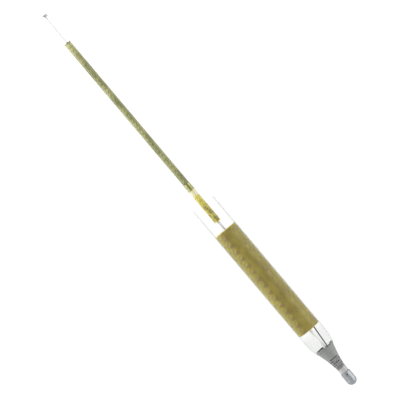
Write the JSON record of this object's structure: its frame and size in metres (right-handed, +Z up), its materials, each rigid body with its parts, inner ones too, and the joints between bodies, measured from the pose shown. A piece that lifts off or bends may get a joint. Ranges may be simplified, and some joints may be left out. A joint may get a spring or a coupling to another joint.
{
  "type": "flame sensor probe",
  "caption": "Straight flame sensing probe: bare rod in thin sliding sleeving, thick woven body under a clear film shroud, leads into a grey boot, bullet terminal.",
  "frame": {"origin": "on the probe's axis, in the middle of the thick body", "axes": "+X along the axis from the tip to the terminal, +Z up, the collar's slit and the solder hole facing +Z"},
  "size_m": [0.265, 0.0146, 0.0146],
  "materials": {
    "rod_metal": "bright drawn, heat-darkened at the tip",
    "olive_sleeving": "varnished glass-fibre weave, satin",
    "yellow_sleeving": "varnished glass-fibre weave, gloss",
    "body_braid": "varnished glass-fibre braid, satin",
    "collar_metal": "satin, yellow passivated",
    "cream_ceramic": "glazed cream",
    "bright_wire": "bright nickel",
    "braze_alloy": "as brazed",
    "cement": "matt, varnish-soaked",
    "mica": "satin flakes",
    "white_ceramic": "matt unglazed",
    "screen_metal": "drawn",
    "tinned_brass": "tinned",
    "white_tubing": "satin",
    "dark_wire": "black enamel",
    "grey_rubber": "matt moulded",
    "ferrule_metal": "oxidised",
    "ring_plastic": "translucent white",
    "bullet_metal": "satin zinc-nickel",
    "clear_film": "clear film, gloss"
  },
  "bodies": {
    "probe": {"sensing_rod": "rod_metal", "splice_collar": "collar_metal", "spacer_bead": "cream_ceramic", "stem": "bright_wire", "rod_braze": "braze_alloy", "body_sleeve": "body_braid", "front_cement": "cement", "front_washer": "mica", "front_core": "white_ceramic", "stem_lock": "collar_metal", "screen_tube": "screen_metal", "rear_core": "white_ceramic", "rear_washer": "mica", "rear_cement": "cement", "splice_barrel": "tinned_brass", "signal_lead": "bright_wire", "signal_tubing": "white_tubing", "screen_lead": "dark_wire", "screen_tubing": "white_tubing", "boot": "grey_rubber", "crimp_ferrule": "ferrule_metal", "pin_insulator": "ring_plastic", "contact_pin": "tinned_brass", "insulating_ring": "ring_plastic", "contact_bullet": "bullet_metal", "clear_shroud": "clear_film"},
    "front_sleeve": {"front_sleeve": "olive_sleeving"},
    "rear_sleeve": {"rear_sleeve": "yellow_sleeving"}
  },
  "joints": [
    {"name": "front_sleeve_slide", "type": "slide", "parent": "probe", "child": "front_sleeve", "axis": [-1, 0, 0], "range_m": [0, 0.019]},
    {"name": "rear_sleeve_slide", "type": "slide", "parent": "probe", "child": "rear_sleeve", "axis": [1, 0, 0], "range_m": [0, 0.0056]}
  ]
}
